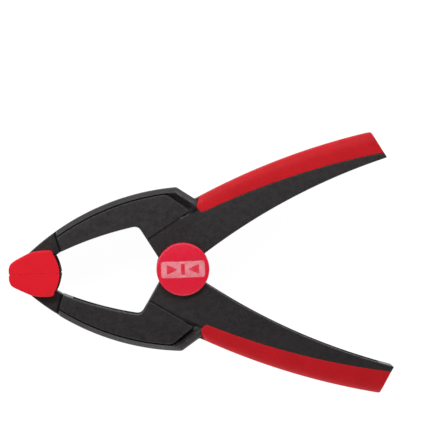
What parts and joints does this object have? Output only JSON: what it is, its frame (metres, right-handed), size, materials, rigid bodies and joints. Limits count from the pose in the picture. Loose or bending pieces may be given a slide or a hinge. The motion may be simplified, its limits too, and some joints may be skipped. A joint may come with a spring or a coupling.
{
  "type": "spring clamp",
  "caption": "Hand spring clamp: two black moulded arms crossed on a steel pin under round red caps, closed by a torsion spring, with swivelling red pads and soft red grips.",
  "frame": {"origin": "centre of the rear cap's outer flat face, on the pivot axis; z = 0 is the plane the clamp is laid on", "axes": "+Z along the pivot pin towards the front cap, +X from the jaws towards the handles, +Y towards the upper arm"},
  "size_m": [0.1579, 0.108, 0.032],
  "materials": {
    "body": "black glass-filled nylon, fine matte grain",
    "grip": "soft red thermoplastic rubber, satin",
    "pad_core": "black moulded nylon",
    "pad_cover": "bright red soft moulding, matt",
    "cap": "bright red moulding, fine satin grain",
    "pin_steel": "zinc-plated turned steel",
    "spring_steel": "oiled drawn spring wire"
  },
  "bodies": {
    "lower_arm": {"lower_arm": "body", "lower_grip": "grip", "pivot_pin": "pin_steel", "lock_ring": "spring_steel", "front_washer": "pin_steel", "rear_washer": "pin_steel", "front_cap": "cap", "rear_cap": "cap", "spring": "spring_steel"},
    "upper_arm": {"upper_arm": "body", "upper_grip": "grip"},
    "lower_pad": {"lower_pad_shoe": "pad_core", "lower_pad_cover": "pad_cover", "lower_pad_pin": "pin_steel"},
    "upper_pad": {"upper_pad_shoe": "pad_core", "upper_pad_cover": "pad_cover", "upper_pad_pin": "pin_steel"}
  },
  "joints": [
    {"name": "arm_pivot", "type": "hinge", "parent": "lower_arm", "child": "upper_arm", "pos_m": [0, 0, 0.016], "axis": [0, 0, -1], "range_deg": [0, 48], "stiffness_Nm_per_rad": 1.2, "springref_deg": -28.65, "deforming": ["spring"]},
    {"name": "lower_pad_swivel", "type": "hinge", "parent": "lower_arm", "child": "lower_pad", "pos_m": [-0.0605, -0.006, 0.016], "axis": [0, 0, -1], "range_deg": [0, 24]},
    {"name": "upper_pad_swivel", "type": "hinge", "parent": "upper_arm", "child": "upper_pad", "pos_m": [-0.0605, 0.006, 0.016], "axis": [0, 0, -1], "range_deg": [-24, 0]}
  ],
  "couplings": [
    {"joint": "lower_pad_swivel", "follows": "arm_pivot", "ratio": 0.5},
    {"joint": "upper_pad_swivel", "follows": "arm_pivot", "ratio": -0.5}
  ]
}
